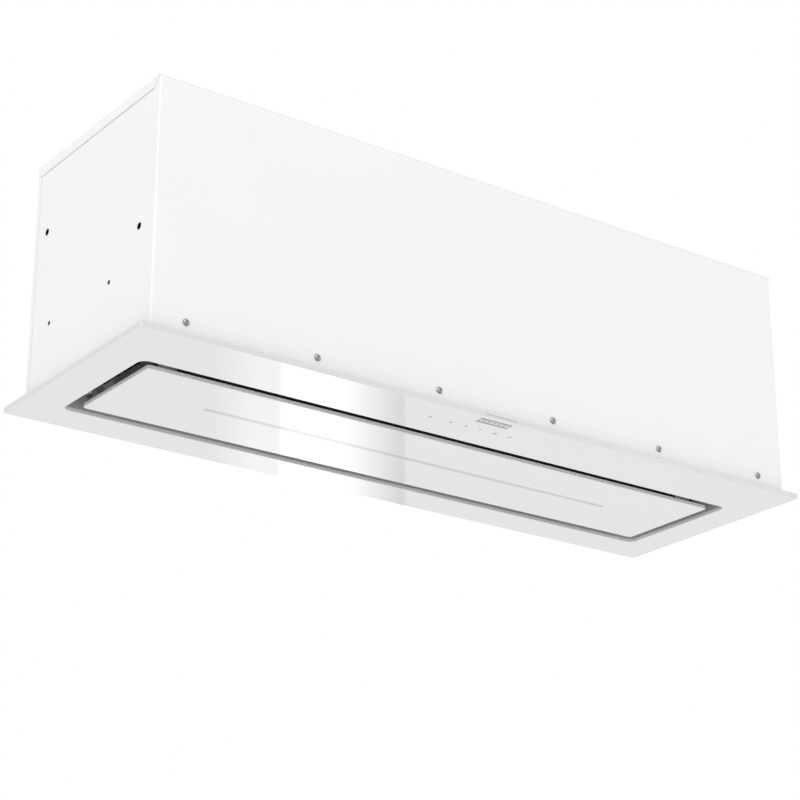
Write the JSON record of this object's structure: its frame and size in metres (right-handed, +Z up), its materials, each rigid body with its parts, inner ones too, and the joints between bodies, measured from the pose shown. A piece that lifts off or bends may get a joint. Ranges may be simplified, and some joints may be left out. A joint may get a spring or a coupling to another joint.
{
  "type": "ceiling range hood",
  "caption": "Built-in ceiling range hood with a white glass flange, a hinged perimeter suction panel with a light strip, and a top duct collar.",
  "frame": {"origin": "centre of the glass flange's underside", "axes": "+X along the hood to its right as seen from the front, front towards -Y, +Z up into the ceiling"},
  "size_m": [0.9, 0.2964, 0.3232],
  "materials": {
    "white_steel": "satin",
    "white_glass": "gloss",
    "carrier_steel": "satin",
    "screw_steel": "satin",
    "filter_aluminium": "satin",
    "grey_plastic": "matt",
    "opal_plastic": "satin",
    "board_green": "matt",
    "magnet_black": "matt",
    "zinc_sheet": "satin",
    "black_plastic": "matt",
    "motor_enamel": "satin",
    "rubber_black": "matt",
    "white_plastic": "matt"
  },
  "bodies": {
    "casing": {"casing_shell": "white_steel", "casing_rear_panel": "white_steel", "casing_top_panel": "white_steel", "flange_glass": "white_glass", "carrier_frame": "carrier_steel", "filter_seat": "carrier_steel", "hinge_bracket_left": "carrier_steel", "hinge_bracket_right": "carrier_steel", "frame_screws_front": "screw_steel", "frame_screws_rear": "screw_steel", "hinge_pin_left": "screw_steel", "hinge_pin_right": "screw_steel", "flap_axle": "screw_steel", "filter_frame_left": "filter_aluminium", "filter_frame_right": "filter_aluminium", "filter_mesh_left": "filter_aluminium", "filter_mesh_right": "filter_aluminium", "magnet_holder_left": "grey_plastic", "magnet_holder_right": "grey_plastic", "touch_board_cover": "grey_plastic", "electronics_box": "grey_plastic", "electronics_lid": "grey_plastic", "touch_board": "board_green", "power_board": "board_green", "catch_magnets": "magnet_black", "scroll_wrapper": "zinc_sheet", "scroll_side_left": "zinc_sheet", "scroll_side_right": "zinc_sheet", "motor_bracket": "zinc_sheet", "capacitor_clip": "zinc_sheet", "inlet_grille": "black_plastic", "outlet_collar": "black_plastic", "cable_gland": "black_plastic", "gland_nut": "black_plastic", "terminal_block": "black_plastic", "motor_housing": "motor_enamel", "motor_bushes": "rubber_black", "run_capacitor": "white_plastic"},
    "panel": {"panel_glass": "white_glass", "panel_tray": "carrier_steel", "panel_back_cover": "carrier_steel", "light_diffuser": "opal_plastic", "led_channel": "filter_aluminium", "led_board": "board_green", "hinge_leaf_left": "carrier_steel", "hinge_leaf_right": "carrier_steel", "strike_plates": "carrier_steel"},
    "rotor": {"impeller": "black_plastic", "motor_shaft": "screw_steel"},
    "front_flap": {"flap_front": "black_plastic"},
    "rear_flap": {"flap_rear": "black_plastic"},
    "latch_left": {"filter_latch_left": "grey_plastic"},
    "latch_right": {"filter_latch_right": "grey_plastic"}
  },
  "joints": [
    {"name": "panel_hinge", "type": "hinge", "parent": "casing", "child": "panel", "pos_m": [0, 0.066, 0.01], "axis": [1, 0, 0], "range_deg": [0, 88]},
    {"name": "impeller_spin", "type": "hinge", "parent": "casing", "child": "rotor", "pos_m": [0, -0.024, 0.166], "axis": [1, 0, 0], "continuous": true},
    {"name": "front_flap_hinge", "type": "hinge", "parent": "casing", "child": "front_flap", "pos_m": [0, 0.04665, 0.3002], "axis": [-1, 0, 0], "range_deg": [0, 78]},
    {"name": "rear_flap_hinge", "type": "hinge", "parent": "casing", "child": "rear_flap", "pos_m": [0, 0.04665, 0.3002], "axis": [1, 0, 0], "range_deg": [0, 78]},
    {"name": "left_latch_slide", "type": "slide", "parent": "casing", "child": "latch_left", "axis": [0, 1, 0], "range_m": [0, 0.008], "stiffness_N_per_m": 150, "springref_m": -0.004},
    {"name": "right_latch_slide", "type": "slide", "parent": "casing", "child": "latch_right", "axis": [0, 1, 0], "range_m": [0, 0.008], "stiffness_N_per_m": 150, "springref_m": -0.004}
  ]
}
